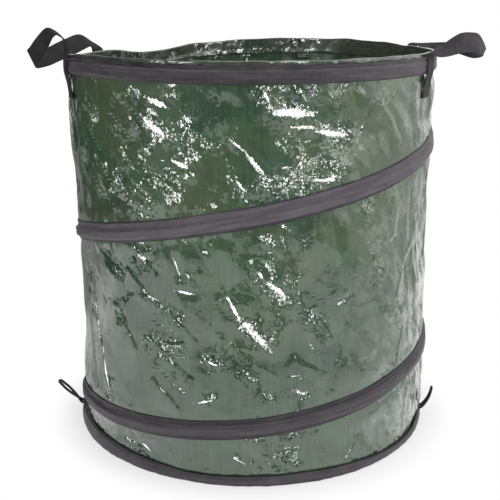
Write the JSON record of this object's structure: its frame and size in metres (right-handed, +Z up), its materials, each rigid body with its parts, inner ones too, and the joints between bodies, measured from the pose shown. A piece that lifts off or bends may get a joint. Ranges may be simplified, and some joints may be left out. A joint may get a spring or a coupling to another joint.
{
  "type": "pop-up garden waste bag",
  "caption": "Round collapsible garden waste bag of tarpaulin, held open by a coiled spring wire in sewn ribbons, with two webbing handles and elastic closing loops.",
  "frame": {"origin": "middle of the underside, on the surface that the bag stands on", "axes": "+Z up along the bag's axis, -Y towards the front, handles towards +X and -X"},
  "size_m": [0.593, 0.4794, 0.5283],
  "materials": {
    "tarpaulin": "coated woven polyethylene, dark green, glossy and creased",
    "hem_cloth": "folded tarpaulin hem and seam allowance, dark green",
    "ribbon": "woven polyester ribbon, purple-grey satin",
    "webbing": "woven polypropylene webbing, black-grey, matt",
    "elastic_cord": "braided elastic cord, black",
    "spring_steel": "drawn spring steel wire",
    "crimp_metal": "crimped ferrule"
  },
  "bodies": {
    "base": {"base_disc": "tarpaulin", "wall_panel": "tarpaulin", "base_seam_tape": "hem_cloth", "side_seam": "hem_cloth", "base_ring_wire": "spring_steel", "spiral_wire": "spring_steel", "lower_ferrule": "crimp_metal", "base_band": "ribbon", "spiral_sleeve": "ribbon"},
    "rim": {"rim_hem": "hem_cloth", "rim_band": "ribbon", "rim_ring_wire": "spring_steel", "upper_ferrule": "crimp_metal", "left_strap_end_front": "webbing", "left_strap_end_rear": "webbing", "right_strap_end_front": "webbing", "right_strap_end_rear": "webbing"},
    "left_handle": {"left_handle": "webbing"},
    "right_handle": {"right_handle": "webbing"},
    "left_loop": {"left_loop": "elastic_cord"},
    "right_loop": {"right_loop": "elastic_cord"}
  },
  "joints": [
    {"name": "collapse", "type": "slide", "parent": "base", "child": "rim", "axis": [0, 0, 1], "range_m": [-0.41, 0], "stiffness_N_per_m": 70, "springref_m": 0.15, "deforming": ["wall_panel", "side_seam", "spiral_wire", "spiral_sleeve"]},
    {"name": "left_handle_swing", "type": "hinge", "parent": "rim", "child": "left_handle", "pos_m": [-0.22076, 0.01157, 0.507], "axis": [0.0523, 0.9986, 0], "range_deg": [-8, 100]},
    {"name": "right_handle_swing", "type": "hinge", "parent": "rim", "child": "right_handle", "pos_m": [0.22076, -0.01157, 0.507], "axis": [-0.0523, -0.9986, 0], "range_deg": [-20, 100]},
    {"name": "left_loop_swing", "type": "hinge", "parent": "base", "child": "left_loop", "pos_m": [-0.23856, -0.03353, 0.018], "axis": [-0.1392, 0.9903, 0], "range_deg": [-64, 24]},
    {"name": "right_loop_swing", "type": "hinge", "parent": "base", "child": "right_loop", "pos_m": [0.23793, -0.03769, 0.0095], "axis": [-0.1564, -0.9877, 0], "range_deg": [-74, 20]}
  ]
}
